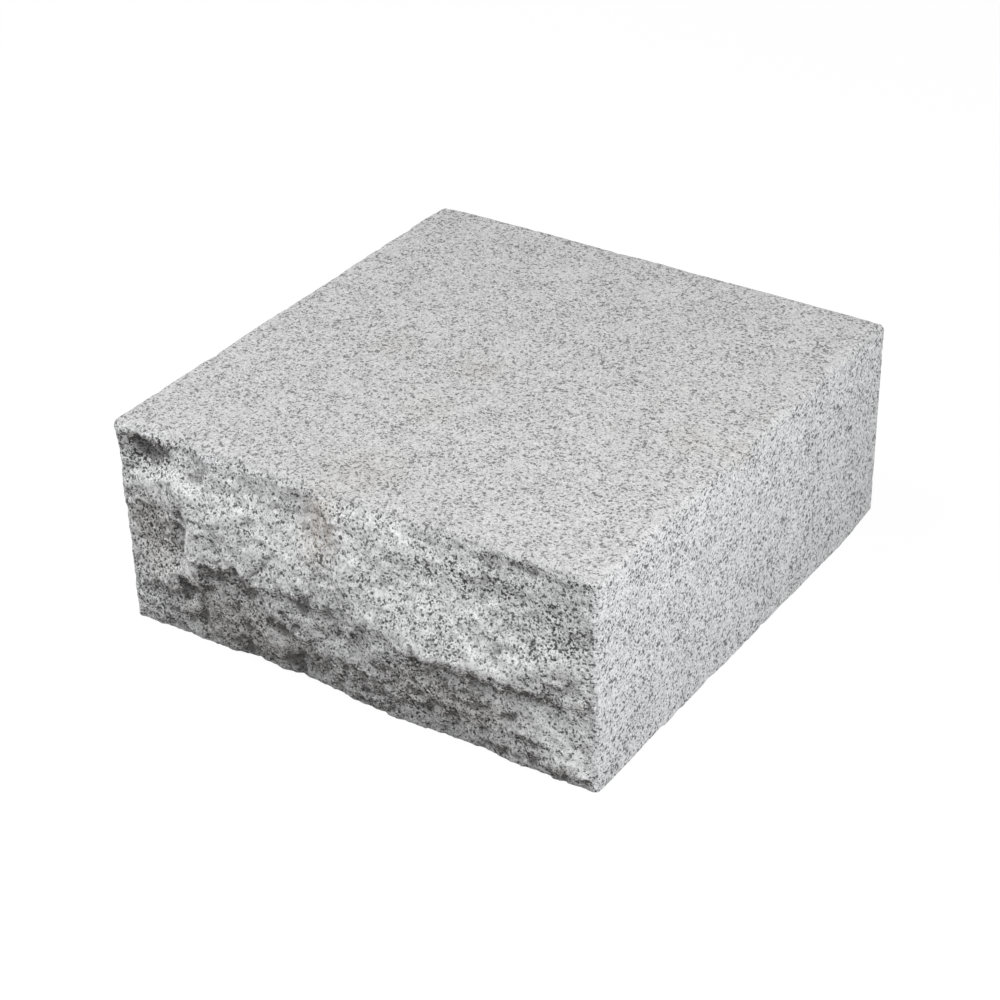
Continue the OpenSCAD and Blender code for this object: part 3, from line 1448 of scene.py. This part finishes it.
@dataclass(frozen=True)
class Lamp:
    """A large soft lamp that faces the middle of the block.

    Args:
        name: Its name.
        azimuth: Degrees that it stands round from straight in front, towards the right end.
        elevation: Degrees above the horizon.
        distance: Distance from the middle of the block.
        size: Its width.
        power: Its power in watts.
    """

    name: str
    azimuth: float
    elevation: float
    distance: float
    size: float
    power: float


def heading(azimuth: float, elevation: float) -> Vector:
    """Direction from the block towards an azimuth and an elevation in degrees."""
    a, e = math.radians(azimuth), math.radians(elevation)
    return Vector((math.sin(a) * math.cos(e), -math.cos(a) * math.cos(e), math.sin(e)))


@dataclass
class Studio:
    """A pale floor, two large soft lamps and the camera."""

    centre: Vector
    # where the camera stands, in degrees, and how far right of and above the middle of its
    # view the block's middle lies
    azimuth: float = 34.202
    elevation: float = 32.091
    roll: float = -1.357
    aim_side: float = 8.624 * MM
    aim_up: float = 20.524 * MM
    distance: float = 1598.03 * MM
    lens: float = 88.09
    sensor: float = 36.0
    lamps: tuple[Lamp, ...] = (
        Lamp("overhead lamp", -50, 60, 2.1, 1.3, 44.5),
        Lamp("side lamp", 80, 22, 0.95, 0.65, 7.1),
    )
    sky_light: float = 0.03
    floor_size: float = 8.0
    # the floor's own lightness, which takes the shadow, and the share and strength of white
    # that is seen in its place
    floor_grey: float = 0.48
    floor_glow: float = 0.9
    floor_white: float = 1.075

    def camera(self) -> None:
        """Places the camera and makes it the scene's own."""
        backward = heading(self.azimuth, self.elevation)
        level = (-backward).cross(Vector((0, 0, 1))).normalized()
        above = level.cross(-backward)
        c, s = math.cos(math.radians(self.roll)), math.sin(math.radians(self.roll))
        right, up = c * level + s * above, c * above - s * level
        data = bpy.data.cameras.new("camera")
        data.lens = self.lens
        data.sensor_width = self.sensor
        spot = self.centre - self.aim_side * right - self.aim_up * up + self.distance * backward
        turned = Matrix((right, up, backward)).transposed().to_4x4()
        made = placed("camera", data)
        made.matrix_world = Matrix.Translation(spot) @ turned
        bpy.context.scene.camera = made

    def lamp(self, kind: Lamp) -> None:
        """Hangs one of the lamps.

        Args:
            kind: The lamp.
        """
        data = bpy.data.lights.new(kind.name, "AREA")
        data.shape = "DISK"
        data.size = kind.size
        data.energy = kind.power
        towards = heading(kind.azimuth, kind.elevation)
        made = placed(kind.name, data)
        made.location = self.centre + kind.distance * towards
        made.rotation_euler = towards.to_track_quat("Z", "Y").to_euler()

    @staticmethod
    def seen(g: Graph) -> Socket:
        """Tells what is seen from what only lights the block.

        Args:
            g: The graph.

        Returns:
            1 for what the camera, a reflection or a clear body shows, or else 0.
        """
        unseen = 1.0
        for ray in ("Is Camera Ray", "Is Glossy Ray", "Is Transmission Ray"):
            unseen = unseen * (1 - g.node("ShaderNodeLightPath", {}, {}, output=ray))
        return 1 - unseen

    def sky(self) -> None:
        """Gives the scene an even white surround that adds only a little light."""
        world = bpy.data.worlds.new("surround")
        g = Graph.of(world)
        strength = self.sky_light + (1 - self.sky_light) * self.seen(g)
        light = g.node(
            "ShaderNodeBackground", {}, {"Color": (*grey(1.0), 1.0), "Strength": strength}
        )
        g.show("ShaderNodeOutputWorld", light)
        bpy.context.scene.world = world

    def floor(self) -> None:
        """Lays the pale floor, which shows white and keeps the block's shadow."""
        half = self.floor_size / 2
        mesh = bpy.data.meshes.new("floor")
        corners = [(-half, -half, 0), (half, -half, 0), (half, half, 0), (-half, half, 0)]
        mesh.from_pydata(corners, [], [(0, 1, 2, 3)])
        material = bpy.data.materials.new("floor")
        g = Graph.of(material)
        matt = g.node("ShaderNodeBsdfDiffuse", {}, {"Color": (*grey(self.floor_grey), 1.0)})
        white = {"Color": (*grey(1.0), 1.0), "Strength": self.floor_white}
        glow = g.node("ShaderNodeEmission", {}, white)
        share = self.floor_glow * self.seen(g)
        mixed = g.node("ShaderNodeMixShader", {}, {0: share, 1: matt, 2: glow})
        g.show("ShaderNodeOutputMaterial", mixed)
        mesh.materials.append(material)
        placed("floor", mesh)


def main() -> None:
    """Builds the block and the studio round it, and logs how many points and faces the block has.
    """
    logging.basicConfig(level=logging.INFO, format="%(message)s")
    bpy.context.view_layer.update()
    low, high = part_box(NODE)
    studio = Studio(centre=Vector((0, 0, high.z / 2)))
    studio.camera()
    for lamp in studio.lamps:
        studio.lamp(lamp)
    studio.sky()
    studio.floor()
    block = Block(low, high, arris_y=-high.y).build("rock_faced_block")
    block.data.materials.append(Granite().material("granite"))
    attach(block, "root")
    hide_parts(NODE)
    mesh = block.data
    log.info("%s: %d points, %d faces", block.name, len(mesh.vertices), len(mesh.polygons))
    bpy.context.scene.view_settings.view_transform = "Standard"


if __name__ == "__main__":
    main()
